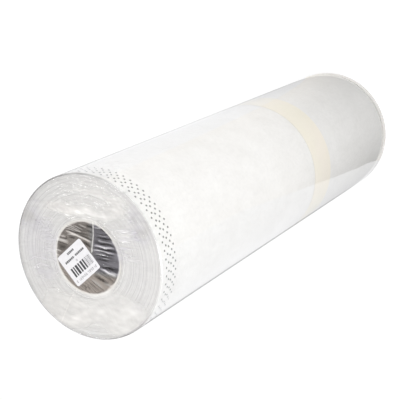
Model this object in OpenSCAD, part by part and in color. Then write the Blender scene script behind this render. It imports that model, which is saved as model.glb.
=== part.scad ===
// Roll of vapour barrier membrane, wound on a cardboard core, taped and packed in shrink film.
// It stands on its far end, because a round roll on its side would roll away. The axis is Z,
// and the end with the label is on top.

/* [Membrane] */
// Width of the membrane, which is the length of the wound roll
membrane_w = 618; // [300:1:1500]
// Outside diameter of the wound membrane
roll_d = 174; // [120:1:300]
// Radial thickness of one visible turn on the ends
turn_t = 1.25; // [0.8:0.05:4]
// Depth of the groove between two turns
groove_depth = 0.7; // [0.2:0.1:1.5]
// How far single turns stand back from the end, because no roll is wound quite even
uneven = 0.4; // [0:0.1:1.2]
// Radius by which the outermost turns are pressed round at both ends
shoulder_r = 1; // [0.5:0.1:8]

/* [Core] */
// Inside diameter of the cardboard core
core_id = 76.2; // [50:0.1:80]
// Wall of the cardboard core
core_wall = 2; // [1:0.5:6]

/* [Closure tape] */
// Width of the tape
tape_w = 50; // [19:1:75]
// Thickness of the tape
tape_t = 0.2; // [0.1:0.05:0.5]
// How far the middle of the tape lies from the middle of the roll, towards the far end
tape_offset = 87; // [-100:1:100]

/* [Shrink film] */
// Thickness of the film
film_t = 0.25; // [0.2:0.05:0.5]
// Loose film that stands past the membrane at the far end
film_tail = 11; // [1:0.5:25]

/* [Label] */
// Length of the label along its lines of print
label_len = 39; // [20:0.5:60]
// Height of the label across its lines of print
label_h = 36.5; // [20:0.5:60]
// Thickness of the label
label_t = 0.2; // [0.1:0.05:0.5]
// Radius of the label's corners
label_corner_r = 2.5; // [0.5:0.5:8]
// Place of the label's middle along X, from the roll's axis
label_x = 10.9; // [-30:0.1:30]
// Place of the label's middle along Y, from the roll's axis
label_y = 7; // [-30:0.1:30]
// Direction of the label's lines of print, anticlockwise from X, seen from above
label_turn = 223.5; // [0:0.5:360]

/* [Hidden] */
$fn = 96;

// Clearances that let one round layer slip over the next
wind_gap = 0.15;      // core to membrane, and membrane to tape
film_gap = 0.2;       // tape to film, and membrane to film at the labelled end

// Radii, worked outwards from the core
core_or = core_id / 2 + core_wall;
bore_r = core_or + wind_gap;
roll_r = roll_d / 2;
tape_ir = roll_r + wind_gap;
tape_or = tape_ir + tape_t;
film_ir = tape_or + film_gap;
film_or = film_ir + film_t;

// Heights above the floor, from the loose film at the far end up to the labelled end
membrane_bottom = film_t + film_tail;
membrane_top = membrane_bottom + membrane_w;
film_top = membrane_top + film_gap + film_t;
tape_bottom = membrane_bottom + (membrane_w - tape_w) / 2 - tape_offset;

// Film bends round the pressed shoulder of the membrane
film_inner_bend = shoulder_r + film_ir - roll_r;
film_outer_bend = film_inner_bend + film_t;

// Whole number of turns between the core and the outside
turns = round((roll_r - bore_r) / turn_t);
turn_step = (roll_r - bore_r) / turns;
turn_round = 0.22;    // share of a turn's thickness that is rounded off at each side

// Plain tube round the axis
module sleeve(inner_r, outer_r, bottom, height) {
    translate([0, 0, bottom]) linear_extrude(height) difference() {
        circle(r = outer_r);
        circle(r = inner_r);
    }
}

// How far the pressed shoulder lies back from the end at radius r
function shoulder_drop(r) =
    let (past = max(0, r - roll_r + shoulder_r))
    shoulder_r - sqrt(max(0, shoulder_r * shoulder_r - past * past));

// How far turn i stands back, a slow wander with a quick one on it
function wander(i, phase) =
    uneven * (0.5 + 0.3 * sin(23 * i + phase) + 0.2 * sin(131 * i + 2 * phase));

// One turn on an end: a groove against the turn below it, then its rounded edge
function turn_edge(i, phase) =
    let (inner = bore_r + i * turn_step,
         rise = turn_round * turn_step,
         back = wander(i, phase))
    [
        [inner, back + shoulder_drop(inner) + groove_depth],
        [inner + rise, back + shoulder_drop(inner + rise)],
        [inner + turn_step - rise, back + shoulder_drop(inner + turn_step - rise)]
    ];

// All turns of one end, from the bore out to the side of the roll
function end_edges(phase) = [
    for (i = [0 : turns - 1]) each turn_edge(i, phase),
    [roll_r, shoulder_r + uneven]
];

// Turns a list round, so that the top end is drawn from the outside in
function reversed(points) = [for (i = [len(points) - 1 : -1 : 0]) points[i]];

module membrane_section() {
    far_end = [for (p = end_edges(250)) [p[0], membrane_bottom + p[1]]];
    top_end = [for (p = end_edges(40)) [p[0], membrane_top - p[1]]];
    polygon(concat(far_end, reversed(top_end)));
}

// Rectangle with its lower left corner at the origin and round corners
module rounded_plate(w, h, corner_r) {
    translate([corner_r, 0]) square([w - 2 * corner_r, h]);
    translate([0, corner_r]) square([w, h - 2 * corner_r]);
    for (x = [corner_r, w - corner_r], y = [corner_r, h - corner_r])
        translate([x, y]) circle(r = corner_r);
}

// Half section of a bag with bent rims, solid up to the axis
module bag_section(r, bend, bottom, top) {
    intersection() {
        translate([0, bottom]) square([r, top - bottom]);
        translate([-r, bottom]) rounded_plate(2 * r, top - bottom, bend);
    }
}

module core() {
    color("burlywood") sleeve(core_id / 2, core_or, membrane_bottom, membrane_w);
}

module membrane() {
    color("whitesmoke") rotate_extrude() membrane_section();
}

module closure_tape() {
    color("wheat") sleeve(tape_ir, tape_or, tape_bottom, tape_w);
}

module shrink_film() {
    color("lightcyan", 0.4) rotate_extrude() difference() {
        bag_section(film_or, film_outer_bend, 0, film_top);
        bag_section(film_ir, film_inner_bend, film_t, film_top - film_t);
    }
}

module label() {
    color("white") translate([label_x, label_y, film_top]) rotate(label_turn) linear_extrude(label_t)
        translate([-label_len / 2, -label_h / 2]) rounded_plate(label_len, label_h, label_corner_r);
}

core();
membrane();
closure_tape();
shrink_film();
label();
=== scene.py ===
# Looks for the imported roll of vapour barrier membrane. The roll stands on its far end, so the
# camera looks down on it, turned so that the roll runs away to the upper right.
import bpy
import math
import numpy as np
from mathutils import Matrix, Vector, noise


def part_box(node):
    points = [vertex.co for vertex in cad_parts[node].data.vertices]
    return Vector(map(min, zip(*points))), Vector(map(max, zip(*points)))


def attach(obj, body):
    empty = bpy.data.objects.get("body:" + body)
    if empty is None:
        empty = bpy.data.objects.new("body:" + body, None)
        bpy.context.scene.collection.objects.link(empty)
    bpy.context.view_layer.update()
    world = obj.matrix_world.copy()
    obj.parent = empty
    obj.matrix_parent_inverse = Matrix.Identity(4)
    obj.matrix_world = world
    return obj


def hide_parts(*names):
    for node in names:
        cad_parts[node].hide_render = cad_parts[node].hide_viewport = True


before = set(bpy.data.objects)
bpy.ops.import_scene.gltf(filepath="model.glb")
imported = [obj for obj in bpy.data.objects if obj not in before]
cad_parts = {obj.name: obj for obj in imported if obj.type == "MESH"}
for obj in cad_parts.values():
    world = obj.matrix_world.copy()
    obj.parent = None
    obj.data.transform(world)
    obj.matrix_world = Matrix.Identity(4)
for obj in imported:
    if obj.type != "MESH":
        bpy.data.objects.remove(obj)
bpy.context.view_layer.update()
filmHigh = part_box("shrink_film")[1]
membraneLow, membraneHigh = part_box("membrane")
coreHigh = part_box("core")[1]
labelLow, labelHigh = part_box("label")
mm = 0.001
filmR = filmHigh.x
topZ = filmHigh.z
labelMid = (labelLow + labelHigh) / 2
print("frame loaded: film radius", round(filmR, 4), "and top", round(topZ, 4))


def smooth(low, high, value):
    # 0 below low, 1 above high, and an eased step between them
    t = max(0.0, min(1.0, (value - low) / (high - low)))
    return t * t * (3 - 2 * t)


def wave(x, y, z=0.0):
    return noise.noise(Vector((x, y, z)))


def ridge(x, y, z=0.0, sharp=2.4):
    return max(0.0, 1 - sharp * abs(wave(x, y, z)))


class Nodes:
    # small wrapper that adds shader nodes and joins them up
    def __init__(self, owner):
        owner.use_nodes = True
        self.tree = owner.node_tree
        self.tree.nodes.clear()

    def add(self, kind, inputs=None, **settings):
        node = self.tree.nodes.new(kind)
        for key, value in settings.items():
            setattr(node, key, value)
        for key, value in (inputs or {}).items():
            node.inputs[key].default_value = value
        return node

    def join(self, source, sourceSocket, target, targetSocket):
        self.tree.links.new(source.outputs[sourceSocket], target.inputs[targetSocket])

    def ramp(self, source, stops):
        node = self.add("ShaderNodeValToRGB")
        while len(node.color_ramp.elements) < len(stops):
            node.color_ramp.elements.new(0.5)
        for element, (place, colour) in zip(node.color_ramp.elements, stops):
            element.position = place
            element.color = (*colour, 1)
        self.join(source, "Fac", node, "Fac")
        return node

    def noiseOn(self, place, scale, detail=3, stretch=None, turn=0.0):
        # noise in the object's own metres, stretched where a mapping is asked for
        node = self.add("ShaderNodeTexNoise", {"Scale": scale, "Detail": detail})
        if stretch:
            mapping = self.add("ShaderNodeMapping")
            mapping.inputs["Scale"].default_value = stretch
            mapping.inputs["Rotation"].default_value = (0, 0, turn)
            self.join(place, "Object", mapping, "Vector")
            self.join(mapping, "Vector", node, "Vector")
        else:
            self.join(place, "Object", node, "Vector")
        return node

    def bump(self, source, distance, socket="Fac"):
        node = self.add("ShaderNodeBump", {"Distance": distance, "Strength": 1.0})
        self.join(source, socket, node, "Height")
        return node

    def level(self):
        # 1 where the surface faces straight up or down, 0 on the side of the roll
        geometry = self.add("ShaderNodeNewGeometry")
        split = self.add("ShaderNodeSeparateXYZ")
        level = self.add("ShaderNodeMath", operation="ABSOLUTE")
        self.join(geometry, "Normal", split, "Vector")
        self.join(split, "Z", level, 0)
        return level


def plainMaterial(name, finish):
    # matt stuff: a tint that drifts with noise, and a finer noise as bump
    material = bpy.data.materials.new(name)
    nodes = Nodes(material)
    output = nodes.add("ShaderNodeOutputMaterial")
    shader = nodes.add("ShaderNodeBsdfPrincipled", {"Roughness": finish["roughness"]})
    place = nodes.add("ShaderNodeTexCoord")
    tint = nodes.ramp(nodes.noiseOn(place, finish["cloudScale"], finish["detail"]), finish["tints"])
    grain = nodes.bump(nodes.noiseOn(place, finish["grainScale"]), finish["grainDepth"])
    nodes.join(tint, "Color", shader, "Base Color")
    nodes.join(grain, "Normal", shader, "Normal")
    nodes.join(shader, "BSDF", output, "Surface")
    return material


def meshPiece(name, points, faces, material, smoothFaces=True):
    mesh = bpy.data.meshes.new(name)
    mesh.from_pydata([tuple(p) for p in points], [], faces)
    mesh.polygons.foreach_set("use_smooth", [smoothFaces] * len(mesh.polygons))
    mesh.update()
    mesh.materials.append(material)
    piece = bpy.data.objects.new(name, mesh)
    bpy.context.scene.collection.objects.link(piece)
    return piece


def loopFaces(start, following, around, flip=False):
    # quads between two rings of points
    faces = []
    for i in range(around):
        k = (i + 1) % around
        face = (start + i, start + k, following + k, following + i)
        faces.append(face[::-1] if flip else face)
    return faces


# The membrane: every turn steps a little in or out of the one before, on both ends
membraneLook = {
    "turns": 37,
    "around": 240,
    "coreGap": 0.15 * mm,
    "edgeShares": [0.22, 0.8],   # where the edge of a turn begins and ends, in shares of its thickness
    "grooveDepth": 0.35 * mm,
    "setBack": 0.3 * mm,         # how far every turn stays below the end
    "wander": 0.4 * mm,
    "drift": 0.25 * mm,          # how far one turn leans along its way round
    "shoulder": 1.0 * mm,
    "lastDrop": 0.6 * mm,        # from the edge of the outermost turn down to the side
    "sideRoom": 1.1 * mm,        # and from there to the first ring of the side
    "sideRings": 40,
    "sideSwell": 0.12 * mm,
    "roughness": 0.9,
    "cloudTints": [(0.3, (0.885, 0.88, 0.865)), (0.7, (0.93, 0.926, 0.914))],
    "cloudScale": 34,
    "mottleTints": [(0.35, (0.955, 0.955, 0.955)), (0.6, (1, 1, 1))],
    "mottleScale": 260,
    # darker rings on both ends: partly the turns' own tone, partly painted shade in the steps between turns
    "ringToneAndShadeTints": [(0.36, (0.71, 0.70, 0.705)), (0.62, (0.94, 0.94, 0.94))],   # of the turns, on both ends
    "ringScale": 800,
    "fibreScale": 1400,
    "fibreDepth": 0.05 * mm,
}


def sideRadius(angle, z):
    # the outermost turn isn't quite round
    swell = 0.5 + 0.5 * wave(1.6 * math.cos(angle), 1.6 * math.sin(angle), z * 9)
    return membraneHigh.x - membraneLook["sideSwell"] * swell


def membraneEnd(look, endZ, outward, seed):
    inner = coreHigh.x + look["coreGap"]
    outer = membraneHigh.x
    step = (outer - inner) / look["turns"]
    angles = np.linspace(0, 2 * math.pi, look["around"], endpoint=False)
    rings = []
    for i in range(look["turns"]):
        back = look["wander"] * (0.5 + 0.45 * wave(i * 0.31, seed) + 0.4 * wave(i * 1.7, seed, 5))
        low = inner + i * step
        for share in [0] + look["edgeShares"]:
            groove = look["grooveDepth"] if i and not share else 0
            r = low + share * step
            past = max(0, r - outer + look["shoulder"])
            drop = look["shoulder"] - math.sqrt(max(0, look["shoulder"] ** 2 - past ** 2))
            ring = []
            for a in angles:
                lean = look["drift"] * wave(1.3 * math.cos(a), 1.3 * math.sin(a), i * 0.8 + seed)
                depth = look["setBack"] + max(0, back + lean) + groove + drop
                ring.append((r * math.cos(a), r * math.sin(a), endZ - outward * depth))
            rings.append(ring)
    # the pressed shoulder of the outermost turn
    rings.append([(outer / r * x, outer / r * y, z - outward * look["lastDrop"]) for x, y, z in rings[-1]])
    return rings


def buildMembrane(look, material):
    angles = np.linspace(0, 2 * math.pi, look["around"], endpoint=False)
    room = look["shoulder"] + look["wander"] + look["sideRoom"]
    rings = membraneEnd(look, membraneLow.z, -1, 11.0)
    for z in np.linspace(membraneLow.z + room, membraneHigh.z - room, look["sideRings"]):
        rings.append([(sideRadius(a, z) * math.cos(a), sideRadius(a, z) * math.sin(a), z) for a in angles])
    rings += membraneEnd(look, membraneHigh.z, 1, 3.0)[::-1]
    points = [p for ring in rings for p in ring]
    faces = []
    for j in range(len(rings)):
        following = (j + 1) % len(rings)
        faces += loopFaces(j * look["around"], following * look["around"], look["around"])
    return meshPiece("membrane_roll", points, faces, material)


def feltMaterial(look):
    # spun-bonded felt: cloudy white, with fine fibres, and on the ends darker rings that are partly the
    # turns' own tone and partly painted shade between the turns
    material = bpy.data.materials.new("membraneFelt")
    nodes = Nodes(material)
    output = nodes.add("ShaderNodeOutputMaterial")
    shader = nodes.add("ShaderNodeBsdfPrincipled", {"Roughness": look["roughness"]})
    place = nodes.add("ShaderNodeTexCoord")
    cloud = nodes.ramp(nodes.noiseOn(place, look["cloudScale"], 5), look["cloudTints"])
    fibre = nodes.bump(nodes.noiseOn(place, look["fibreScale"]), look["fibreDepth"])
    mottle = nodes.ramp(nodes.noiseOn(place, look["mottleScale"], 4), look["mottleTints"])
    felt = nodes.add("ShaderNodeMix", {0: 1.0}, data_type="RGBA", blend_type="MULTIPLY")
    nodes.join(cloud, "Color", felt, 6)
    nodes.join(mottle, "Color", felt, 7)
    # distance from the axis drives the rings, and the ends are where the surface faces up or down
    flatten = nodes.add("ShaderNodeVectorMath", operation="MULTIPLY")
    flatten.inputs[1].default_value = (1, 1, 0)
    reach = nodes.add("ShaderNodeVectorMath", operation="LENGTH")
    nodes.join(place, "Object", flatten, 0)
    nodes.join(flatten, "Vector", reach, 0)
    # painted shade: darker rings at random radii on the ends
    rings = nodes.add("ShaderNodeTexNoise", {"Scale": look["ringScale"], "Detail": 2}, noise_dimensions="1D")
    nodes.join(reach, "Value", rings, "W")
    ringToneAndShade = nodes.ramp(rings, look["ringToneAndShadeTints"])
    colour = nodes.add("ShaderNodeMix", data_type="RGBA", blend_type="MULTIPLY")
    nodes.join(nodes.level(), "Value", colour, 0)
    nodes.join(felt, 2, colour, 6)
    nodes.join(ringToneAndShade, "Color", colour, 7)
    nodes.join(colour, 2, shader, "Base Color")
    nodes.join(fibre, "Normal", shader, "Normal")
    nodes.join(shader, "BSDF", output, "Surface")
    return material


membraneFelt = feltMaterial(membraneLook)
membraneRoll = buildMembrane(membraneLook, membraneFelt)
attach(membraneRoll, "root")
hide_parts("membrane")
print("membrane wound:", len(membraneRoll.data.polygons), "faces")


# Dots printed along the labelled edge
dotLook = {
    "columns": [9.1, 13.4, 17.6, 22.0, 26.3],     # mm from the labelled end
    "shift": [0.26, 0.76, 0.51, 1.01, 0.51],      # shares of the pitch, so that the rows slant
    "perTurn": 63,
    "radius": 1.05 * mm,
    "lift": 0.01 * mm,
    "ink": 0.03 * mm,
    "corners": 12,
    "finish": {"tints": [(0.3, (0.008, 0.008, 0.01)), (0.7, (0.035, 0.035, 0.04))], "cloudScale": 160,
               "detail": 2, "roughness": 0.7, "grainScale": 900, "grainDepth": 0.01 * mm},
}


def buildDots(look, material):
    points, faces = [], []
    pitch = 2 * math.pi / look["perTurn"]
    corners = look["corners"]
    for column, shift in zip(look["columns"], look["shift"]):
        for i in range(look["perTurn"]):
            # the rows are counted from the right of the end, which is -X, upwards, which is -Y
            middle = math.pi + (i + shift) * pitch
            z = topZ - column * mm
            start = len(points)
            for layer in (0.0, look["ink"]):
                r = membraneHigh.x + look["lift"] + layer
                for c in range(corners):
                    t = 2 * math.pi * c / corners
                    a = middle + look["radius"] * math.cos(t) / r
                    points.append((r * math.cos(a), r * math.sin(a), z + look["radius"] * math.sin(t)))
            faces.append(tuple(start + corners + c for c in range(corners)))
            faces.append(tuple(start + c for c in reversed(range(corners))))
            faces += loopFaces(start, start + corners, corners)
    return meshPiece("edge_dots", points, faces, material, smoothFaces=False)


edgeDots = buildDots(dotLook, plainMaterial("dotInk", dotLook["finish"]))
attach(edgeDots, "root")
print("dots printed:", dotLook["perTurn"] * len(dotLook["columns"]))


# The core and the tape keep their CAD shape
coreLook = {
    # painted shade: the board's tints are far darker than bare cardboard, for the shade deep in the bore
    "boardAndShadeTints": [(0.3, (0.03, 0.023, 0.02)), (0.72, (0.115, 0.088, 0.072))],
    "cutTint": (0.80, 0.775, 0.72, 1),      # the cut ends of the tube are paler than its wall
    "roughness": 0.85,
    "fibreScale": 90,
    "fibreDepth": 0.1 * mm,
}
tapeLook = {
    "tints": [(0.3, (0.935, 0.90, 0.775)), (0.7, (0.955, 0.90, 0.805))],
    "cloudScale": 18,
    "detail": 3,
    "roughness": 0.5,
    "grainScale": 600,
    "grainDepth": 0.03 * mm,
}


def setMaterial(node, material):
    node.data.materials.clear()
    node.data.materials.append(material)


def coreMaterial(look):
    material = bpy.data.materials.new("coreBoard")
    nodes = Nodes(material)
    output = nodes.add("ShaderNodeOutputMaterial")
    shader = nodes.add("ShaderNodeBsdfPrincipled", {"Roughness": look["roughness"]})
    place = nodes.add("ShaderNodeTexCoord")
    fibre = nodes.noiseOn(place, look["fibreScale"], 6)
    # the wall's dark tint is painted shade; the cut ends keep a paler tint
    shadedBoard = nodes.ramp(fibre, look["boardAndShadeTints"])
    ends = nodes.add("ShaderNodeMix", {7: look["cutTint"]}, data_type="RGBA")
    nodes.join(nodes.level(), "Value", ends, 0)
    nodes.join(shadedBoard, "Color", ends, 6)
    rough = nodes.bump(fibre, look["fibreDepth"])
    nodes.join(ends, 2, shader, "Base Color")
    nodes.join(rough, "Normal", shader, "Normal")
    nodes.join(shader, "BSDF", output, "Surface")
    return material


setMaterial(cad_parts["closure_tape"], plainMaterial("tapeFilm", tapeLook))
setMaterial(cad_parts["core"], coreMaterial(coreLook))
print("core and tape dressed")


# The label keeps its CAD shape too. The film lies flat under it, so its sizes come before the film
labelLook = {
    "length": 39 * mm,
    "height": 36.5 * mm,
    "flatHalf": (19.5 * mm, 18.3 * mm),    # half length and half height of the flat film under it
    "turn": math.radians(223.5),
    "ink": 0.03 * mm,
    # plain blocks in the place of words, in shares of the label: middle, length, top, height, and where
    # the blocks and the gap stand
    "blockRows": [(0.5, 0.28, 0.085, 0.06, "xxxxx"), (0.53, 0.80, 0.25, 0.06, "xxxxxx xxxxxx")],
    "blockShare": 0.72,
    "number": "15",
    "numberBox": (0.455, 0.385, 0.03, 0.05),      # of its first figure: left, top, length, height
    "numberStep": 0.045,
    "digits": "0123456789012",
    "digitBox": (0.08, 0.85, 0.032, 0.065),
    "digitStep": 0.062,
    "digitGap": 0.03,            # more after the first of the digits, and after the seventh
    "barPlace": (0.14, 0.49, 0.77),               # left of the first bar, top and bottom of all
    "barUnit": 0.0088,           # share of the label's length
    # each bar with the gap after it: two dense groups, then thin ones
    "bars": [(7, 4), (5, 4), (9, 4), (6, 5), (8, 4), (6, 4),
             (1, 3), (2, 3), (1, 3), (1, 3), (2, 3), (1, 3)],
    "paper": {"tints": [(0.3, (0.765, 0.755, 0.775)), (0.7, (0.82, 0.81, 0.83))], "cloudScale": 260,
              "detail": 3, "roughness": 0.5, "grainScale": 900, "grainDepth": 0.01 * mm},
    "print": {"tints": [(0.3, (0.02, 0.02, 0.025)), (0.7, (0.06, 0.06, 0.065))], "cloudScale": 400,
              "detail": 2, "roughness": 0.6, "grainScale": 900, "grainDepth": 0.005 * mm},
}

# The shrink film: a closed skin that follows the roll, creased over the labelled end
filmLook = {
    "aroundEnd": 480,
    "aroundSide": 240,
    "boreRings": 74,
    "faceRings": 62,
    "bend": 1.8 * mm,
    "bendRings": 5,
    "sideRings": 60,
    "farRings": 34,
    "middle": 0.5 * mm,          # radius of the smallest ring, at the middle of both ends
    "inset": 0.06 * mm,          # keeps the skin just inside the CAD film
    "hemWhite": 0.75,            # past the far end of the membrane the film is gathered, and whiter
    "creasesPerRadius": 23,
    "boreCrease": 0.22 * mm,
    "faceCrease": 0.10 * mm,
    "clearTint": (0.985, 0.985, 0.985, 1),
    "glossTint": (0.98, 0.98, 0.975, 1),
    "roughness": 0.08,
    # grey where it bunches, which is painted shade; a painted bluish reflection over the deep of the bore;
    # white haze over the turns; and beige over the cardboard, which is painted light from its lit wall
    "hazeAndPaintedLightTints": [(0.0, (0.24, 0.23, 0.23)), (0.15, (0.56, 0.54, 0.53)), (0.3, (0.72, 0.695, 0.77)),
                  (0.6, (0.965, 0.95, 0.925)), (1.0, (0.84, 0.73, 0.65))],
    "hazeCover": 0.55,           # how much full haze hides
    "crinkleDepth": 0.6 * mm,
    "streakScale": (60, 420, 300),
    "dentScale": 190,
    "smearScale": (30, 80, 30),
    "smearTints": [(0.46, (0, 0, 0)), (0.72, (0.36, 0.36, 0.36))],
}

# Places on the labelled end are in film radii, right and up as the camera sees them.
# Folds pressed into the end: how high, how wide in mm, and the line
faceFolds = [
    (0.9, 2.4, [(-0.64, 0.52), (-0.48, 0.51), (-0.34, 0.50), (-0.17, 0.43)]),
    (0.3, 2.2, [(-0.54, 0.53), (-0.38, 0.63), (-0.23, 0.72)]),
    (0.8, 1.4, [(-0.19, 0.84), (-0.13, 0.80), (-0.02, 0.77)]),
    (0.6, 1.2, [(-0.15, 0.84), (-0.06, 0.86)]),
    (0.5, 2.2, [(0.33, 0.80), (0.42, 0.72), (0.48, 0.65), (0.49, 0.54)]),
    (0.35, 3.0, [(0.71, 0.68), (0.62, 0.57), (0.69, 0.47), (0.86, 0.37)]),
    (0.4, 2.6, [(0.54, 0.46), (0.62, 0.57)]),
    (0.5, 2.0, [(0.28, 0.39), (0.44, 0.40), (0.58, 0.42)]),
    (0.6, 2.0, [(0.31, 0.33), (0.50, 0.35), (0.60, 0.38), (0.65, 0.45)]),
    (0.4, 1.8, [(0.36, 0.28), (0.48, 0.29), (0.60, 0.31)]),
    (0.3, 2.0, [(0.40, 0.20), (0.56, 0.21), (0.70, 0.23)]),
    (0.35, 1.8, [(-0.62, 0.02), (-0.43, 0.0)]),
    (0.5, 2.4, [(-0.95, -0.24), (-0.75, -0.11), (-0.44, -0.12)]),
    (0.5, 2.2, [(-0.82, -0.28), (-0.69, -0.19), (-0.50, -0.20)]),
    (0.5, 2.2, [(-0.68, -0.52), (-0.36, -0.45)]),
    (0.35, 2.0, [(-0.22, -0.55), (-0.02, -0.62)]),
    (0.25, 2.2, [(-0.34, -0.77), (-0.13, -0.79)]),
]

# Tight creases over the mouth of the core, painted white: partly the stretched film's own whitening and
# partly painted highlights.
# How white, how wide in mm, and the line
mouthFolds = [
    # upper left, down to the right
    (0.75, 1.1, [(-0.26, 0.36), (-0.17, 0.34), (-0.10, 0.32)]),
    (0.80, 1.0, [(-0.29, 0.34), (-0.22, 0.33), (-0.14, 0.31), (-0.08, 0.30)]),
    (0.50, 0.9, [(-0.30, 0.31), (-0.23, 0.31), (-0.14, 0.29)]),
    (1.00, 1.5, [(-0.30, 0.28), (-0.22, 0.27), (-0.14, 0.25), (-0.01, 0.22), (0.05, 0.20)]),
    (0.50, 1.1, [(-0.28, 0.24), (-0.22, 0.25), (-0.16, 0.24)]),
    (0.35, 1.1, [(-0.19, 0.37), (-0.11, 0.35), (-0.05, 0.32)]),
    (0.30, 1.0, [(-0.12, 0.39), (0.0, 0.36)]),
    # left
    (0.40, 1.1, [(-0.38, 0.21), (-0.30, 0.21)]),
    (0.45, 3.0, [(-0.43, 0.16), (-0.35, 0.16), (-0.26, 0.15)]),
    (0.50, 1.0, [(-0.44, 0.03), (-0.37, 0.02)]),
    (0.50, 1.0, [(-0.45, -0.03), (-0.39, -0.04)]),
    # right
    (0.35, 1.1, [(0.09, 0.38), (0.14, 0.38), (0.20, 0.39)]),
    (0.28, 1.1, [(0.16, 0.30), (0.22, 0.30), (0.29, 0.30)]),
    (0.32, 1.3, [(0.15, 0.24), (0.19, 0.23), (0.36, 0.23)]),
    (0.85, 1.3, [(0.10, 0.17), (0.16, 0.17), (0.24, 0.16), (0.30, 0.17), (0.37, 0.18)]),
    (0.50, 1.4, [(0.08, 0.11), (0.13, 0.12), (0.18, 0.12), (0.29, 0.11), (0.37, 0.11)]),
    (0.30, 1.2, [(0.10, 0.07), (0.15, 0.07), (0.25, 0.08)]),
    (0.20, 1.2, [(0.20, 0.03), (0.31, 0.04)]),
    (0.25, 1.2, [(0.21, -0.06), (0.30, -0.05)]),
    (1.15, 1.7, [(0.17, -0.10), (0.23, -0.11), (0.28, -0.13), (0.33, -0.14), (0.39, -0.15)]),
    (0.40, 1.3, [(0.31, -0.12), (0.41, -0.13)]),
    # below
    (0.15, 2.0, [(0.05, -0.25), (0.20, -0.33)]),
    (0.15, 2.2, [(0.22, -0.26), (0.32, -0.29)]),
]

# Between them the film lies flat and clear, and the dark of the bore shows: how clear, how wide
# in mm, and the line
mouthGaps = [
    # right
    (1.00, 1.4, [(0.19, 0.39), (0.26, 0.35)]),
    (0.80, 1.0, [(0.17, 0.31), (0.21, 0.31), (0.26, 0.32), (0.30, 0.34)]),
    (0.95, 1.7, [(0.14, 0.27), (0.22, 0.27), (0.27, 0.27), (0.35, 0.28)]),
    (0.65, 0.9, [(0.20, 0.24), (0.26, 0.25), (0.33, 0.24)]),
    (1.00, 1.9, [(0.08, 0.21), (0.20, 0.20), (0.28, 0.21), (0.40, 0.19)]),
    (1.00, 2.0, [(0.08, 0.14), (0.18, 0.14), (0.26, 0.14), (0.36, 0.14), (0.42, 0.13)]),
    (0.90, 1.2, [(0.16, 0.11), (0.24, 0.10), (0.29, 0.09), (0.37, 0.09)]),
    (0.90, 1.2, [(0.09, 0.05), (0.17, 0.06), (0.23, 0.05), (0.29, 0.05), (0.37, 0.05)]),
    (0.90, 1.5, [(0.11, 0.01), (0.21, 0.01), (0.31, 0.01)]),
    (1.00, 1.9, [(0.18, -0.09), (0.27, -0.07), (0.34, -0.08), (0.43, -0.07)]),
    (0.70, 1.0, [(0.33, -0.10), (0.42, -0.10)]),
    # lower right
    (0.60, 0.9, [(0.17, -0.13), (0.28, -0.17), (0.39, -0.19)]),
    (0.60, 0.9, [(0.14, -0.15), (0.23, -0.18), (0.31, -0.21), (0.37, -0.23)]),
    (0.80, 2.6, [(0.08, -0.19), (0.18, -0.23), (0.29, -0.26)]),
    (0.35, 1.4, [(0.0, -0.24), (0.10, -0.30), (0.20, -0.35)]),
    (0.35, 1.2, [(0.02, -0.30), (0.11, -0.36)]),
    (0.60, 1.2, [(-0.09, -0.34), (-0.03, -0.37), (-0.05, -0.40)]),
    (0.50, 1.1, [(-0.02, -0.34), (0.03, -0.38)]),
    # upper left
    (0.70, 0.8, [(-0.28, 0.35), (-0.19, 0.33), (-0.11, 0.31)]),
    (0.65, 0.7, [(-0.30, 0.33), (-0.22, 0.32), (-0.14, 0.30)]),
    (0.75, 1.0, [(-0.18, 0.38), (-0.11, 0.36), (0.0, 0.34)]),
    (0.80, 1.0, [(-0.20, 0.35), (-0.11, 0.33), (-0.03, 0.31)]),
    (0.90, 1.2, [(-0.30, 0.30), (-0.22, 0.29), (-0.14, 0.28), (-0.08, 0.28), (0.03, 0.28)]),
    (0.90, 1.4, [(-0.26, 0.21), (-0.16, 0.21)]),
    (0.85, 1.5, [(-0.11, 0.26), (-0.03, 0.25), (0.08, 0.22)]),
    (1.00, 1.7, [(-0.01, 0.39), (0.09, 0.38)]),
    (0.90, 2.4, [(-0.06, 0.19), (0.06, 0.14)]),
    (0.60, 1.4, [(0.0, 0.34), (0.09, 0.31)]),
    # left
    (0.80, 1.1, [(-0.40, 0.19), (-0.31, 0.18), (-0.28, 0.19), (-0.28, 0.23)]),
    (0.90, 1.2, [(-0.44, 0.13), (-0.39, 0.13), (-0.32, 0.12), (-0.24, 0.10)]),
    (0.80, 3.6, [(-0.41, 0.07), (-0.29, 0.08)]),
]

# Where the film over the end is hazy, and where grey haze paints shade on it: place, half width, half
# height, how much, and the haze's tone, from 0 for painted grey shade through 0.3 for a painted bluish
# reflection and 0.6 for white to 1 for painted beige light
hazeAndShadePatches = [
    (0.15, 0.67, 0.42, 0.15, 1.0, 0.62),
    (-0.30, 0.55, 0.36, 0.07, 0.70, 0.65),
    (0.10, 0.52, 0.34, 0.07, 0.60, 0.6),
    (0.55, 0.36, 0.20, 0.10, 0.35, 0.55),
    (-0.28, -0.70, 0.45, 0.22, 1.2, 0.62),
    (0.40, -0.62, 0.42, 0.28, 1.2, 0.6),
    (0.72, -0.10, 0.22, 0.42, 0.25, 0.5),
    (-0.55, -0.35, 0.28, 0.16, 0.30, 0.6),
    # painted shade: these two grey patches darken the end where its turns are in shade
    (0.73, 0.54, 0.16, 0.28, 0.22, 0.15),
    (-0.80, 0.34, 0.17, 0.55, 0.20, 0.15),
    (-0.62, -0.05, 0.26, 0.42, 0.35, 0.4),
]

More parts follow.
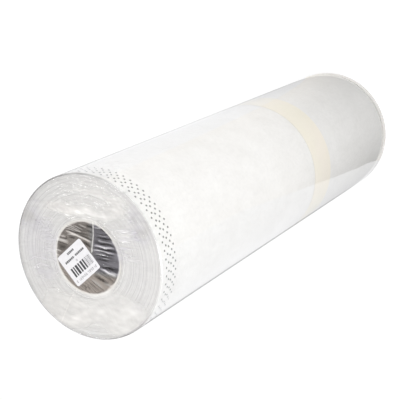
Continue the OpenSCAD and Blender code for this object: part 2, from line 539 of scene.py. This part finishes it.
# The weld seam of the bag, from the upper edge of the bore to the lower rim
weldSeam = {
    "line": [(0.09, 0.44), (0.09, 0.29), (0.06, 0.08), (-0.12, -0.35), (-0.25, -0.54),
             (-0.33, -0.71), (-0.42, -0.90)],
    "height": 0.4,
    "width": 0.6,
}


def lineDistance(u, v, line):
    # distance to a broken line, and how far along it the nearest point lies, 0 to 1
    best, place = 9.0, 0.0
    count = len(line) - 1
    for k in range(count):
        ax, ay = line[k]
        bx, by = line[k + 1]
        dx, dy = bx - ax, by - ay
        t = max(0.0, min(1.0, ((u - ax) * dx + (v - ay) * dy) / (dx * dx + dy * dy)))
        d = math.hypot(u - ax - t * dx, v - ay - t * dy)
        if d < best:
            best, place = d, (k + t) / count
    return best, place


def foldShare(u, v, width, line):
    # 1 on the line, fading out to its sides and towards both its ends
    d, place = lineDistance(u, v, line)
    d *= filmR / mm / (0.65 * width)
    if d > 3:
        return 0.0
    return math.exp(-d * d) * math.sin(math.pi * min(0.999, max(0.001, place))) ** 0.5


def labelClear(x, y):
    # 0 under the label, 1 from 3 mm outside it
    turn = labelLook["turn"]
    halfLong, halfTall = labelLook["flatHalf"]
    dx, dy = x - labelMid.x, y - labelMid.y
    along = abs(dx * math.cos(turn) + dy * math.sin(turn)) - halfLong
    across = abs(-dx * math.sin(turn) + dy * math.cos(turn)) - halfTall
    return smooth(0.3 * mm, 3 * mm, max(along, across))


class Skin:
    # one point of the film over the labelled end: its height, how hazy it is and the haze's tone, which also
    # carries painted shade, reflection and light
    def __init__(self):
        self.height, self.white, self.tone = 0.0, 0.0, 0.0

    def add(self, height=0.0, white=0.0):
        self.height += height
        self.white += white

    def tint(self, tone, share):
        self.tone += (tone - self.tone) * share


def stretchOverMouth(skin, u, v, r, free, gap, look):
    # level creases over the mouth of the core, which turn down to the right below its middle
    slope = 0.08 + 1.25 * max(0.0, -v - 0.02)
    t = v + slope * u + 0.03 * wave(2.2 * u, 2.2 * v, 7)
    k = look["creasesPerRadius"]
    long = ridge(t * k, u * 1.3, 1.0)
    cross = wave(t * k * 0.45, u * 1.1, 4.0)
    fine = ridge(t * k * 2.1, u * 2.6, 9.0)
    pleat = 0.5 + 0.5 * math.sin(2 * math.pi * (t * 0.8 * k + 1.6 * wave(u * 1.7, t * 5, 3.0)))
    overBore = 1 - smooth(0.40, 0.50, r)
    creases = 0.8 * long ** 2 + 0.5 * pleat ** 2 + 0.4 * cross + 0.3 * fine ** 2 - 0.8
    # round the mouth the film is crumpled
    crumple = ridge(4.5 * u + 9, 5.5 * v, 2.0) ** 3 + 0.6 * ridge(11 * u, 13 * v + 3, 6.0) ** 3
    face = (1 - overBore) * look["faceCrease"] * (0.8 * crumple + long ** 3)
    skin.add(height=free * (overBore * look["boreCrease"] * creases * (1 - gap) + face))
    # clear with a painted bluish reflection over the deep of the bore, and hazy with painted beige light
    # where its lit wall is near
    lower = smooth(0.12, 0.24, -v)
    right = smooth(0.0, 0.12, u) * (1 - lower)
    upperLeft = (1 - right) * (1 - lower)
    hazeAndPaintedLight = 0.34 * right + 0.58 * lower + 0.38 * upperLeft + 0.14 * cross
    # whiter along the creases, partly as painted highlights
    skin.add(white=overBore * max(0, hazeAndPaintedLight + 0.08 * long ** 3 + 0.06 * fine ** 3 - 0.12 * pleat ** 4))
    skin.tint(0.28 * right + 0.95 * lower + 0.88 * upperLeft, 1)


def stretchOverCore(skin, u, v, r, clear):
    # over the edge of the core the film is nearly white, with an uneven outline
    angle = math.atan2(v, u)
    uneven = 0.012 * wave(5 * math.cos(angle), 5 * math.sin(angle), 4)
    skin.add(white=0.65 * smooth(0.42, 0.435, r + uneven) * (1 - smooth(0.455, 0.50, r)))
    skin.tint(0.6, smooth(0.41, 0.45, r))
    # strained beside the core, in level streaks of white haze with painted grey shade between them
    beside = math.exp(-((u - 0.55) / 0.15) ** 2) * smooth(-0.05, 0.1, v) * (1 - smooth(0.40, 0.50, v))
    beside += 0.8 * math.exp(-((u + 0.54) / 0.11) ** 2) * smooth(-0.15, 0.0, v) * (1 - smooth(0.38, 0.48, v))
    across = 24 * (v - 0.06 * u)
    strain = beside * ridge(2.2 * u, across, 5.0, sharp=1.8) ** 2
    between = beside * ridge(2.2 * u, across + 0.6, 15.0, sharp=1.8) ** 2
    skin.add(clear * strain * 0.2 * mm, 0.35 * (strain + between))
    skin.tint(0.15, 0.7 * between)


def spreadHazeAndShade(skin, u, v):
    for left, up, halfWide, halfTall, amount, tone in hazeAndShadePatches:
        away = math.hypot((u - left) / halfWide, (v - up) / halfTall)
        if away < 1.4:
            cloud = 0.85 + (0.9 if v > 0 else 0.5) * wave(3 * u, 5 * v, 3) + 0.3 * wave(9 * u, 16 * v, 8)
            share = (1 - smooth(0.45, 1.3, away)) * max(0.0, cloud)
            skin.add(white=amount * share)
            skin.tint(tone, min(1.0, share))


def pressFolds(skin, u, v, free, clear):
    for height, width, line in faceFolds:
        share = foldShare(u, v, 1.5 * width, line)
        patchy = 0.9 + 0.6 * wave(u * 9, v * 9, 2)
        # the white along each fold is partly the creased film's whitening and partly painted highlights
        skin.add(free * share * height * 0.6 * mm, 0.39 * clear * patchy * share ** 2)


def weld(skin, u, v, free, clear):
    # the seam is lower over the end than over the bore
    d, place = lineDistance(u, v, weldSeam["line"])
    d *= filmR / mm
    if d < 3 * weldSeam["width"]:
        bell = math.exp(-(d / weldSeam["width"]) ** 2) * (1 - 0.6 * smooth(0.30, 0.55, place))
        skin.add(free * bell * weldSeam["height"] * mm, clear * bell * (0.8 + 0.6 * wave(u * 30, v * 30, 8)))
        skin.tint(0.7, bell)


def endSkin(x, y, look):
    u, v = -x / filmR, -y / filmR
    r = math.hypot(u, v)
    clear = labelClear(x, y)
    free = clear * (1 - smooth(0.90, 0.975, r))      # flat under the label and along the rim
    gap = 0
    if r < 0.46:
        gap = max(clearness * foldShare(u, v, width, line) for clearness, width, line in mouthGaps)
    skin = Skin()
    stretchOverMouth(skin, u, v, r, free, gap, look)
    stretchOverCore(skin, u, v, r, clear)
    if r > 0.44:
        spreadHazeAndShade(skin, u, v)
    if r < 0.5:
        # white lines along the mouth folds, partly painted highlights
        for pale, width, line in mouthFolds:
            share = foldShare(u, v, width, line)
            skin.add(clear * share * 0.15 * mm, 1.3 * pale * share * (0.95 + 0.4 * wave(u * 9, v * 9, 2)))
            skin.tint(0.6, 0.6 * share)
    skin.white *= 1 - gap
    pressFolds(skin, u, v, free, clear)
    weld(skin, u, v, free, clear)
    skin.white = max(0.0, min(1.6, skin.white))
    return skin


def endCrinkle(angle):
    # the film is most crumpled along the top of the end, and lies smoothest at its right
    turn = (math.degrees(angle) + 180) % 360
    return np.interp(turn, [0, 40, 60, 115, 140, 180, 230, 275, 310, 360],
                     [0.3, 0.5, 1.0, 1.1, 0.6, 0.4, 0.25, 0.12, 0.12, 0.3])


def rimGatherAndPaintedShade(angle):
    # the film bunches along the upper left of the rim, and a thin grey line is painted there as shade: it
    # stands in for the film's dark edge, and along the bottom for the shadow under the rim
    turn = (math.degrees(angle) + 180) % 360
    bunch = np.interp(turn, [0, 30, 60, 95, 130, 160, 215, 240, 300, 318, 335, 360],
                      [0, 0.1, 0.3, 0.8, 1.4, 1.8, 1.8, 1.4, 1.4, 0.8, 0, 0])
    return min(1.6, bunch * (0.85 + 0.5 * wave(7 * math.cos(angle), 7 * math.sin(angle), 2)))


def sideCrinkle(angle, z):
    # gathers run round the roll near the labelled end, along its upper side
    turn = (math.degrees(angle) + 180) % 360
    along = smooth(58, 85, turn) * (1 - smooth(120, 150, turn))
    return 0.06 + 0.6 * along * (1 - smooth(15 * mm, 75 * mm, topZ - z))


def endRings(look, flat, endZ):
    # the labelled end, from its middle out to where the film bends
    rings = []
    boreR = coreHigh.x
    radii = list(np.linspace(look["middle"], boreR, look["boreRings"]))
    radii += list(np.linspace(boreR, flat, look["faceRings"] + 1))[1:]
    angles = np.linspace(0, 2 * math.pi, look["aroundEnd"], endpoint=False)
    for r in radii:
        points, white, tone = [], [], []
        for a in angles:
            x, y = r * math.cos(a), r * math.sin(a)
            skin = endSkin(x, y, look)
            # painted shade: the outermost ring of the end takes the grey of the rim line
            if r == radii[-1]:
                skin.white, skin.tone = max(skin.white, 0.4 * rimGatherAndPaintedShade(a)), 0.1
            points.append((x, y, endZ + skin.height))
            white.append(skin.white)
            tone.append(skin.tone)
        crinkle = [endCrinkle(a) if r > boreR else 0.05 for a in angles]
        rings.append((points, white, crinkle, tone))
    return rings


def plainRing(r, z, count, crinkle=None):
    angles = np.linspace(0, 2 * math.pi, count, endpoint=False)
    white = [filmLook["hemWhite"] * (1 - smooth(membraneLow.z - 1 * mm, membraneLow.z, z))] * count
    crinkles = [sideCrinkle(a, z) if crinkle is None else crinkle for a in angles]
    return [(r * math.cos(a), r * math.sin(a), z) for a in angles], white, crinkles, [0.6] * count


def filmRings(look):
    # each ring: its points, how hazy it is, how crinkled and the haze's tone
    bend = look["bend"]
    flat = filmR - bend - look["inset"]
    endZ = topZ - look["inset"]
    low = look["inset"] + bend
    angles = np.linspace(0, 2 * math.pi, look["aroundEnd"], endpoint=False)
    rings = endRings(look, flat, endZ)
    for t in np.linspace(0, math.pi / 2, look["bendRings"] + 1)[1:]:
        r = flat + bend * math.sin(t)
        points = plainRing(r, endZ - bend * (1 - math.cos(t)), look["aroundEnd"])[0]
        # painted shade: dark grey haze on the bend, where the rim line is painted
        gatherAndShade = [rimGatherAndPaintedShade(a) * max(0.0, math.sin(2 * t)) ** 0.5 for a in angles]
        rings.append((points, gatherAndShade, [0.5 * endCrinkle(a) for a in angles], [0.0] * len(points)))
    heights = list(np.linspace(endZ - bend, membraneLow.z + 1 * mm, look["sideRings"])[1:])
    heights += [membraneLow.z, membraneLow.z - 1 * mm, (membraneLow.z + low) / 2, low]
    for z in heights:
        rings.append(plainRing(flat + bend, z, look["aroundSide"], None if z > membraneLow.z else 0))
    for t in np.linspace(math.pi / 2, 0, look["bendRings"] + 1)[1:]:
        rings.append(plainRing(flat + bend * math.sin(t), low - bend * math.cos(t), look["aroundSide"], 0))
    for r in np.linspace(flat, look["middle"], look["farRings"] + 1)[1:]:
        rings.append(plainRing(r, look["inset"], look["aroundSide"], 0.7 if r < 0.93 * flat else 0.06))
    return rings


def buildFilm(look, material):
    rings = filmRings(look)
    points, white, crinkle, tone, faces, starts = [], [], [], [], [], []
    for ringPoints, ringWhite, ringCrinkle, ringTone in rings:
        starts.append(len(points))
        points += ringPoints
        white += ringWhite
        crinkle += ringCrinkle
        tone += ringTone
    starts.append(len(points))
    for j in range(len(rings) - 1):
        a, b, following = starts[j], starts[j + 1], starts[j + 2]
        if b - a == following - b:
            faces += loopFaces(a, b, b - a, flip=True)
        else:
            # two steps of the finer ring meet one step of the coarser
            count = following - b
            for i in range(count):
                k = (i + 1) % count
                faces.append((b + i, b + k, a + 2 * k, a + 2 * i + 1, a + 2 * i))
    faces.append(tuple(range(starts[1])))
    faces.append(tuple(reversed(range(starts[-2], starts[-1]))))
    piece = meshPiece("shrink_wrap", points, faces, material)
    for name, values in (("white", white), ("crinkle", crinkle), ("tone", tone)):
        piece.data.attributes.new(name, "FLOAT", "POINT").data.foreach_set("value", values)
    return piece


def filmMaterial(look):
    material = bpy.data.materials.new("wrapFilm")
    nodes = Nodes(material)
    output = nodes.add("ShaderNodeOutputMaterial")
    clear = nodes.add("ShaderNodeBsdfTransparent", {"Color": look["clearTint"]})
    milkAndPaintedLight = nodes.add("ShaderNodeBsdfDiffuse")
    gloss = nodes.add("ShaderNodeBsdfGlossy", {"Roughness": look["roughness"], "Color": look["glossTint"]})
    place = nodes.add("ShaderNodeTexCoord")
    crinkle = nodes.add("ShaderNodeAttribute", attribute_name="crinkle")
    white = nodes.add("ShaderNodeAttribute", attribute_name="white")
    tone = nodes.add("ShaderNodeAttribute", attribute_name="tone")
    # the haze's colour carries white haze and also painted shade, a painted reflection and painted light
    hazeAndPaintedLight = nodes.ramp(tone, look["hazeAndPaintedLightTints"])
    nodes.join(hazeAndPaintedLight, "Color", milkAndPaintedLight, "Color")
    streaks = nodes.noiseOn(place, 1.0, 4, look["streakScale"], math.radians(5))
    dents = nodes.noiseOn(place, look["dentScale"])
    both = nodes.add("ShaderNodeMath", operation="ADD")
    height = nodes.add("ShaderNodeMath", operation="MULTIPLY")
    bump = nodes.bump(height, look["crinkleDepth"], "Value")
    nodes.join(streaks, "Fac", both, 0)
    nodes.join(dents, "Fac", both, 1)
    nodes.join(both, "Value", height, 0)
    nodes.join(crinkle, "Fac", height, 1)
    # milkiness: faint smears on the ends, more on the creases
    drift = nodes.noiseOn(place, 1.0, 5, look["smearScale"], math.radians(8))
    drift.inputs["Distortion"].default_value = 1.2
    smear = nodes.ramp(drift, look["smearTints"])
    smeared = nodes.add("ShaderNodeMath", operation="MULTIPLY")
    milkRamp = nodes.add("ShaderNodeMath", {1: 1.0, 2: 0.01}, operation="MULTIPLY_ADD")
    milkAll = nodes.add("ShaderNodeMath", {1: look["hazeCover"]}, operation="MULTIPLY_ADD")
    nodes.join(crinkle, "Fac", smeared, 0)
    nodes.join(smear, "Color", smeared, 1)
    nodes.join(smeared, "Value", milkRamp, 0)
    nodes.join(white, "Fac", milkAll, 0)
    nodes.join(milkRamp, "Value", milkAll, 2)
    body = nodes.add("ShaderNodeMixShader")
    nodes.join(milkAll, "Value", body, "Fac")
    nodes.join(clear, "BSDF", body, 1)
    nodes.join(milkAndPaintedLight, "BSDF", body, 2)
    # a thin sheet mirrors more at a slant, and just as much from inside as from outside
    slant = nodes.add("ShaderNodeLayerWeight", {"Blend": 0.5})
    steep = nodes.add("ShaderNodeMath", {1: 3.5}, operation="POWER")
    edge = nodes.add("ShaderNodeMath", {1: 0.95, 2: 0.05}, operation="MULTIPLY_ADD")
    skin = nodes.add("ShaderNodeMixShader")
    nodes.join(bump, "Normal", slant, "Normal")
    nodes.join(bump, "Normal", gloss, "Normal")
    nodes.join(slant, "Facing", steep, 0)
    nodes.join(steep, "Value", edge, 0)
    nodes.join(edge, "Value", skin, "Fac")
    nodes.join(body, "Shader", skin, 1)
    nodes.join(gloss, "BSDF", skin, 2)
    nodes.join(skin, "Shader", output, "Surface")
    return material


wrap = buildFilm(filmLook, filmMaterial(filmLook))
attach(wrap, "root")
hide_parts("shrink_film")
print("film shrunk on:", len(wrap.data.polygons), "faces")


# The label's print
def labelPoint(along, down, z):
    # along 0 to 1 from the left of the print, down 0 to 1 from its top
    turn = labelLook["turn"]
    a = (along - 0.5) * labelLook["length"]
    b = (0.5 - down) * labelLook["height"]
    return (labelMid.x + a * math.cos(turn) - b * math.sin(turn),
            labelMid.y + a * math.sin(turn) + b * math.cos(turn), z)


def inkBlock(points, faces, left, top, right, bottom):
    start = len(points)
    for z in (labelHigh.z, labelHigh.z + labelLook["ink"]):
        for along, down in ((left, bottom), (right, bottom), (right, top), (left, top)):
            points.append(labelPoint(along, down, z))
    faces.append((start + 4, start + 5, start + 6, start + 7))
    faces.append((start + 3, start + 2, start + 1, start))
    for i in range(4):
        k = (i + 1) % 4
        faces.append((start + i, start + k, start + 4 + k, start + 4 + i))


# strokes of a plain digit: left, top, right, bottom in shares of its box
strokes = {
    "a": (0.0, 0.0, 1.0, 0.14), "b": (0.8, 0.0, 1.0, 0.5), "c": (0.8, 0.5, 1.0, 1.0),
    "d": (0.0, 0.86, 1.0, 1.0), "e": (0.0, 0.5, 0.2, 1.0), "f": (0.0, 0.0, 0.2, 0.5),
    "g": (0.0, 0.43, 1.0, 0.57),
}
digitStrokes = ["abcdef", "bc", "abged", "abgcd", "fgbc", "afgcd", "afgedc", "abc", "abcdefg", "abcdfg"]


def inkDigit(points, faces, digit, left, top, wide, tall):
    for name in digitStrokes[int(digit)]:
        l, t, r, b = strokes[name]
        inkBlock(points, faces, left + l * wide, top + t * tall, left + r * wide, top + b * tall)


def buildPrint(material):
    points, faces = [], []
    for middle, length, top, tall, blocks in labelLook["blockRows"]:
        step = length / len(blocks)
        for i, block in enumerate(blocks):
            left = middle - length / 2 + i * step
            if block == "x":
                inkBlock(points, faces, left, top, left + labelLook["blockShare"] * step, top + tall)
    first, top, wide, tall = labelLook["numberBox"]
    for i, digit in enumerate(labelLook["number"]):
        inkDigit(points, faces, digit, first + i * labelLook["numberStep"], top, wide, tall)
    # bars of made-up widths
    left, top, bottom = labelLook["barPlace"]
    for units, gap in labelLook["bars"]:
        inkBlock(points, faces, left, top, left + units * labelLook["barUnit"], bottom)
        left += (units + gap) * labelLook["barUnit"]
    first, top, wide, tall = labelLook["digitBox"]
    for i, digit in enumerate(labelLook["digits"]):
        left = first + i * labelLook["digitStep"]
        left += labelLook["digitGap"] * ((i > 0) + (i > 6))
        inkDigit(points, faces, digit, left, top, wide, tall)
    return meshPiece("label_print", points, faces, material, smoothFaces=False)


setMaterial(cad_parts["label"], plainMaterial("labelPaper", labelLook["paper"]))
labelPrint = buildPrint(plainMaterial("labelInk", labelLook["print"]))
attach(labelPrint, "root")
print("label printed:", len(labelPrint.data.polygons), "faces")


# Camera, floor and light
studioLook = {
    "floorHalf": 6,
    "floorTint": (0.6, 0.6, 0.6, 1),
    "floorGlow": 0.52,           # what the camera and the gloss see on top of the tint
    "skyLight": 0.75,
}
cameraPlan = {
    "place": (-6.706, -4.199, 9.377),    # film radii from the middle of the labelled end
    "aim": (-1.471, -0.911, 0.0),
    "lens": 96.1,
}


def buildCamera(plan):
    place = Vector(plan["place"]) * filmR + Vector((0, 0, topZ))
    aim = Vector(plan["aim"]) * filmR + Vector((0, 0, topZ))
    back = (place - aim).normalized()
    right = Vector((0, -1, 0)).cross(back).normalized()
    turn = Matrix((right, back.cross(right), back)).transposed().to_4x4()
    data = bpy.data.cameras.new("viewCamera")
    data.lens = plan["lens"]
    data.sensor_width = 36
    data.clip_start, data.clip_end = 0.01, 100
    camera = bpy.data.objects.new("viewCamera", data)
    camera.matrix_world = Matrix.Translation(place) @ turn
    bpy.context.scene.collection.objects.link(camera)
    bpy.context.scene.camera = camera


def seenFactor(nodes):
    # 1 for camera, glossy and transmission rays
    rays = nodes.add("ShaderNodeLightPath")
    first = nodes.add("ShaderNodeMath", operation="MAXIMUM")
    second = nodes.add("ShaderNodeMath", operation="MAXIMUM")
    nodes.join(rays, "Is Camera Ray", first, 0)
    nodes.join(rays, "Is Glossy Ray", first, 1)
    nodes.join(first, "Value", second, 0)
    nodes.join(rays, "Is Transmission Ray", second, 1)
    return second


def floorMaterial():
    material = bpy.data.materials.new("paleFloor")
    nodes = Nodes(material)
    output = nodes.add("ShaderNodeOutputMaterial")
    plain = nodes.add("ShaderNodeBsdfDiffuse", {"Color": studioLook["floorTint"]})
    glow = nodes.add("ShaderNodeEmission")
    strength = nodes.add("ShaderNodeMath", {1: studioLook["floorGlow"]}, operation="MULTIPLY")
    total = nodes.add("ShaderNodeAddShader")
    nodes.join(seenFactor(nodes), "Value", strength, 0)
    nodes.join(strength, "Value", glow, "Strength")
    nodes.join(plain, "BSDF", total, 0)
    nodes.join(glow, "Emission", total, 1)
    nodes.join(total, "Shader", output, "Surface")
    return material


def buildFloor(half, material):
    corners = [(-half, -half, 0), (half, -half, 0), (half, half, 0), (-half, half, 0)]
    meshPiece("floor", corners, [(0, 1, 2, 3)], material, smoothFaces=False)


# Cards on the floor that only the gloss of the film sees, in metres from the axis, and in degrees round it
shadeLook = {
    "height": 0.1 * mm,
    "hem": [0.0920, 0.0932, 0.0945],        # pale up to the first, where the hem at the far end looks
    "hemLevel": 0.97,
    "radii": [0.1, 1.8, 40],
    "steps": 90,
    "start": -62,
    "end": 298,
    # the edge between the two cards shows in the film as a slanted line low on the roll
    "edgeRadii": [0.088, 0.125, 0.165, 0.25, 0.37, 1.8],
    "edgeTurns": [156, 148, 148, 157, 172, 180],
    "darkFoot": 0.17,                       # level beside the roll, and where it has risen to white
    "darkReach": 0.305,
    "paleFoot": 0.70,
    "paleReach": 0.26,
    "viewTurn": math.radians(32),           # direction in which the camera looks across the floor
    "dim": 0.12,                            # ceiling and wall
    "warmTint": (1, 0.96, 0.91, 1),
    "coolTint": (0.98, 0.98, 1, 1),
}


def cardMaterial(name, tint):
    # shade that only the gloss of the film sees
    material = bpy.data.materials.new(name)
    nodes = Nodes(material)
    output = nodes.add("ShaderNodeOutputMaterial")
    glow = nodes.add("ShaderNodeEmission", {"Color": tint})
    level = nodes.add("ShaderNodeAttribute", attribute_name="level")
    nodes.join(level, "Fac", glow, "Strength")
    nodes.join(glow, "Emission", output, "Surface")
    return material


def hideCard(card, levels):
    card.data.attributes.new("level", "FLOAT", "POINT").data.foreach_set("value", levels)
    card.visible_camera = False
    card.visible_diffuse = False
    card.visible_transmission = False
    card.visible_shadow = False


def shadeLevel(x, y, foot, reach):
    # from foot beside the roll up to white at reach
    away = math.hypot(x, y)
    level = foot + (1.02 - foot) * smooth(0.09, reach, away)
    # darker behind the roll, so that the outline of the clear film can be told from the white floor;
    # the two directions are seen from the lower and the upper edge of the roll
    edgeX, edgeY = filmR * math.sin(shadeLook["viewTurn"]), filmR * math.cos(shadeLook["viewTurn"])
    lowTurn = math.degrees(math.atan2(y - edgeY, x + edgeX))
    highTurn = math.degrees(math.atan2(y + edgeY, x - edgeX))
    behind = smooth(-90, 0, min(lowTurn, highTurn)) * (1 - smooth(50, 72, lowTurn))
    behind *= smooth(10, 24, highTurn)
    level *= 1 - (0.82 - 0.22 * smooth(20, 50, lowTurn)) * behind
    hem = 1 - smooth(shadeLook["hem"][0], shadeLook["hem"][-1], away)
    return level + (shadeLook["hemLevel"] - level) * hem


def buildShadeCard(name, startTurns, endTurns, foot, reach, material):
    # part of a ring on the floor, with the turn of its two edges at each radius
    look = shadeLook
    radii = [filmR + 0.5 * mm] + look["hem"] + list(np.geomspace(*look["radii"]))
    points, levels = [], []
    count = look["steps"]
    for r in radii:
        start, end = np.interp(r, look["edgeRadii"], startTurns), np.interp(r, look["edgeRadii"], endTurns)
        for turn in np.radians(np.linspace(start, end, count)):
            x, y = r * math.cos(turn), r * math.sin(turn)
            points.append((x, y, look["height"]))
            # the dark card turns as pale as the other towards its end
            share = smooth(230, look["end"], math.degrees(turn))
            levels.append(shadeLevel(x, y, foot + (look["paleFoot"] - foot) * share,
                                     reach + (look["paleReach"] - reach) * share))
    faces = []
    for j in range(len(radii) - 1):
        for i in range(count - 1):
            k = j * count + i
            faces.append((k, k + 1, k + count + 1, k + count))
    hideCard(meshPiece(name, points, faces, material, smoothFaces=False), levels)


def buildShade(look):
    warm = cardMaterial("shadeWarm", look["warmTint"])
    cool = cardMaterial("shadeCool", look["coolTint"])
    around = len(look["edgeRadii"])
    starts, ends = [look["start"]] * around, [look["end"]] * around
    buildShadeCard("shadeCardDark", look["edgeTurns"], ends, look["darkFoot"], look["darkReach"], warm)
    buildShadeCard("shadeCardPale", starts, look["edgeTurns"], look["paleFoot"], look["paleReach"], cool)
    # a dim ceiling where the flat of the labelled end looks, and a dim wall on its left
    ceiling = [(0.10, -0.25, 2.25), (0.05, 1.15, 2.25), (1.50, 1.15, 1.45), (1.55, -0.25, 1.45)]
    wall = [(1.55, -0.70, 1.45), (1.55, 1.40, 1.45), (1.55, 1.40, 0.02), (1.55, -0.70, 0.02)]
    for name, corners in (("shadeCeiling", ceiling), ("shadeWall", wall)):
        hideCard(meshPiece(name, corners, [(0, 1, 2, 3)], warm, smoothFaces=False), [look["dim"]] * 4)


def buildWorld(strength):
    world = bpy.data.worlds.new("studio")
    nodes = Nodes(world)
    output = nodes.add("ShaderNodeOutputWorld")
    light = nodes.add("ShaderNodeBackground", {"Color": (1, 1, 1, 1), "Strength": strength})
    seen = nodes.add("ShaderNodeBackground", {"Color": (1, 1, 1, 1), "Strength": 1.0})
    mix = nodes.add("ShaderNodeMixShader")
    nodes.join(seenFactor(nodes), "Value", mix, "Fac")
    nodes.join(light, "Background", mix, 1)
    nodes.join(seen, "Background", mix, 2)
    nodes.join(mix, "Shader", output, "Surface")
    bpy.context.scene.world = world


# Places and aims in metres, sizes in metres, power in watts
lampPlan = {
    "keyLamp": {"place": (-0.30, -1.00, 0.85), "aim": (0, 0, 0.4), "size": 0.6, "power": 4.6},
    "sideLamp": {"place": (-1.00, 0.28, 0.72), "aim": (0, 0, 0.4), "size": 0.6, "power": 3.35},
    "endLamp": {"place": (-0.26, 0.14, 1.25), "aim": (0, 0, 0.6), "size": 0.25, "power": 1.7},
    "creaseLamp": {"place": (0.51, -0.20, 1.60), "aim": (0, 0, 0.63), "size": 0.30, "power": 2.6,
                   "onlyGloss": True},
    "backLamp": {"place": (0.50, 0.72, 1.25), "aim": (0, 0, 0.63), "size": 0.25, "power": 1.5,
                 "onlyGloss": True},
}


def buildLamps(plan):
    for name, lamp in plan.items():
        data = bpy.data.lights.new(name, "AREA")
        data.size = lamp["size"]
        data.energy = lamp["power"]
        piece = bpy.data.objects.new(name, data)
        place, aim = Vector(lamp["place"]), Vector(lamp["aim"])
        piece.location = place
        piece.rotation_mode = "QUATERNION"
        piece.rotation_quaternion = (aim - place).to_track_quat("-Z", "Y")
        piece.visible_diffuse = not lamp.get("onlyGloss", False)
        bpy.context.scene.collection.objects.link(piece)


buildCamera(cameraPlan)
buildFloor(studioLook["floorHalf"], floorMaterial())
buildShade(shadeLook)
buildWorld(studioLook["skyLight"])
buildLamps(lampPlan)
bpy.context.scene.view_settings.view_transform = "Standard"
print("studio set")
